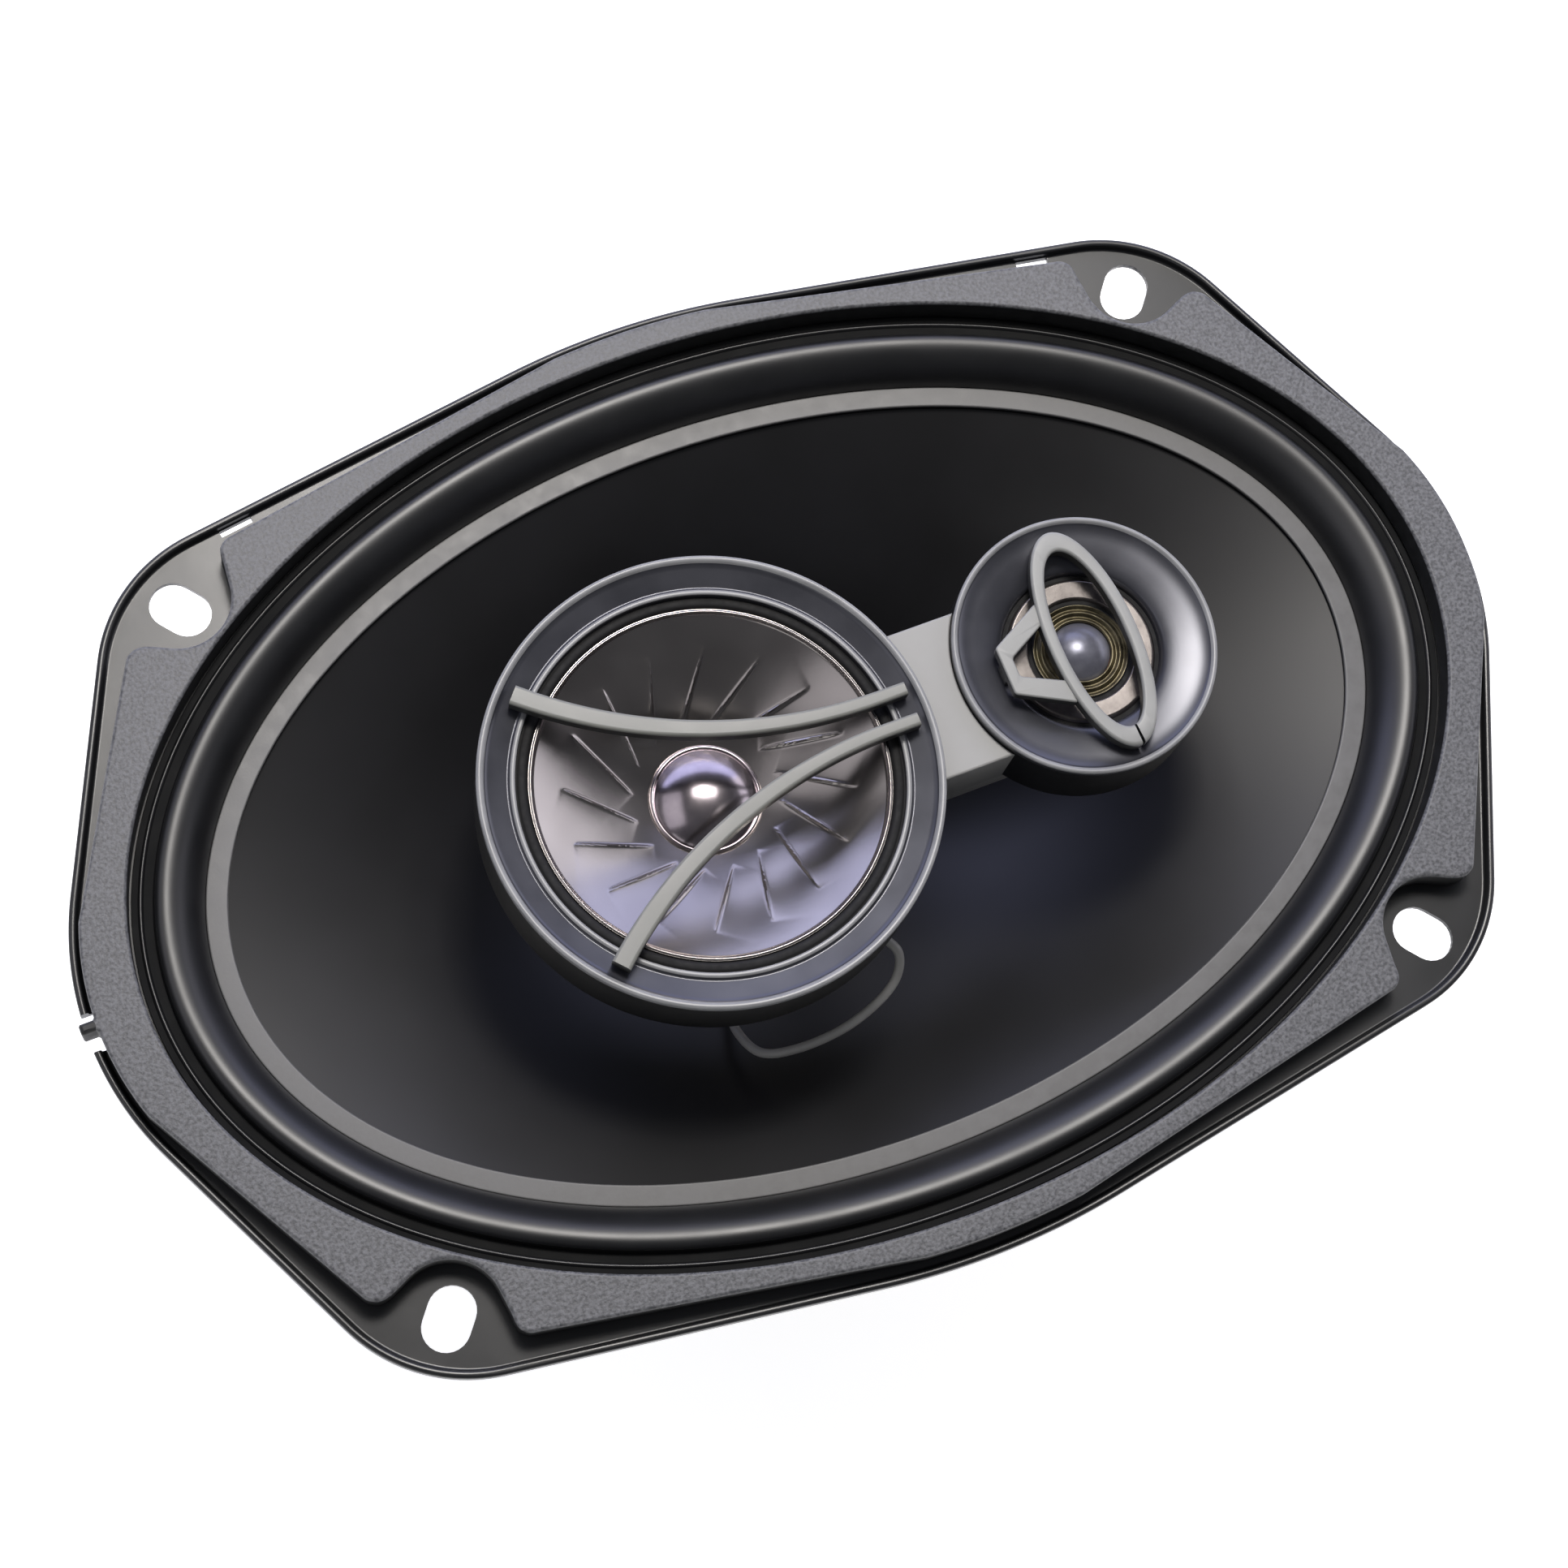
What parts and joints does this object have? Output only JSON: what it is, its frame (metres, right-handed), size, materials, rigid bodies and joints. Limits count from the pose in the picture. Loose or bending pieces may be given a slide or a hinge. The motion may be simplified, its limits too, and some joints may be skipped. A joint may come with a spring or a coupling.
{
  "type": "coaxial car speaker",
  "caption": "Oval coaxial car speaker: steel basket with slotted ears, rubber-edged cone, and a bridge carrying a guarded midrange and a small dome tweeter.",
  "frame": {"origin": "centre of the oval, on the rear face of the steel flange, where the speaker seats on its panel", "axes": "+Z points to the listener along the cone's travel, +X runs along the long axis with the tweeter on the +X side, +Y runs along the short axis; the terminals are on the -Y side"},
  "size_m": [0.235, 0.161, 0.0979],
  "materials": {
    "basket_paint": "satin black painted pressed steel",
    "gasket_grain": "grained moulded plastic",
    "plated_steel": "zinc plated, machined",
    "ferrite": "sintered ferrite, painted",
    "rivet_steel": "bright rivet steel",
    "phenolic_board": "phenolic paper board",
    "tinned_brass": "tinned brass",
    "screw_steel": "zinc plated",
    "bridge_plastic": "moulded light grey",
    "housing_plastic": "moulded satin black",
    "bezel_plastic": "moulded satin charcoal",
    "guard_plastic": "moulded mid grey",
    "plated_magnet": "nickel plated",
    "capacitor_sleeve": "shrunk sleeve",
    "surround_rubber": "satin moulded rubber",
    "treated_cotton": "resin treated woven cotton",
    "tinsel_braid": "braided tinsel wire",
    "lead_sleeve": "grey insulated wire",
    "midrange_edge": "soft black edge",
    "tweeter_edge": "metallised film",
    "cone_pulp": "satin black pressed cone",
    "trim_ring": "matte grey ring",
    "former_film": "amber film",
    "copper_winding": "enamelled copper wire",
    "metallised_film": "metallised polymer film",
    "bright_cap": "bright metallised cap",
    "dome_film": "satin blue grey film"
  },
  "bodies": {
    "frame": {"basket": "basket_paint", "gasket_ring": "gasket_grain", "top_plate": "plated_steel", "magnet": "ferrite", "pole_yoke": "plated_steel", "plate_rivets": "rivet_steel", "terminal_board": "phenolic_board", "terminal_positive": "tinned_brass", "terminal_negative": "tinned_brass", "terminal_rivets": "rivet_steel", "centre_post": "screw_steel", "post_washer": "screw_steel", "post_nut": "screw_steel", "post_screw": "screw_steel", "bridge": "bridge_plastic", "bridge_screws": "screw_steel", "midrange_housing": "housing_plastic", "midrange_bezel": "bezel_plastic", "midrange_guard_bars": "guard_plastic", "midrange_yoke": "plated_steel", "midrange_magnet": "plated_magnet", "midrange_pole_plate": "plated_steel", "tweeter_housing": "housing_plastic", "tweeter_horn": "bezel_plastic", "tweeter_guard_ring": "guard_plastic", "tweeter_guard_bracket": "guard_plastic", "tweeter_yoke": "plated_steel", "tweeter_magnet": "plated_magnet", "tweeter_pole_plate": "plated_steel", "midrange_capacitor": "capacitor_sleeve", "tweeter_capacitor": "capacitor_sleeve", "surround": "surround_rubber", "spider": "treated_cotton", "tinsel_leads": "tinsel_braid", "midrange_lead": "lead_sleeve", "midrange_surround": "midrange_edge", "tweeter_surround": "tweeter_edge"},
    "woofer_cone": {"cone": "cone_pulp", "cone_trim_ring": "trim_ring", "voice_coil_former": "former_film", "voice_coil": "copper_winding", "lead_eyelets": "tinned_brass"},
    "midrange_diaphragm": {"midrange_cone": "metallised_film", "midrange_dust_cap": "bright_cap", "midrange_voice_coil": "copper_winding"},
    "tweeter_diaphragm": {"tweeter_dome": "dome_film", "tweeter_voice_coil": "copper_winding"}
  },
  "joints": [
    {"name": "woofer_travel", "type": "slide", "parent": "frame", "child": "woofer_cone", "axis": [0, 0, 1], "range_m": [-0.005, 0.005], "stiffness_N_per_m": 2600, "deforming": ["surround", "spider", "tinsel_leads", "midrange_lead"]},
    {"name": "midrange_travel", "type": "slide", "parent": "frame", "child": "midrange_diaphragm", "axis": [0, 0, 1], "range_m": [-0.0004, 0.0004], "stiffness_N_per_m": 6000, "deforming": ["midrange_surround"]},
    {"name": "tweeter_travel", "type": "slide", "parent": "frame", "child": "tweeter_diaphragm", "axis": [0, 0, 1], "range_m": [-0.0002, 0.0002], "stiffness_N_per_m": 4000, "deforming": ["tweeter_surround"]}
  ]
}
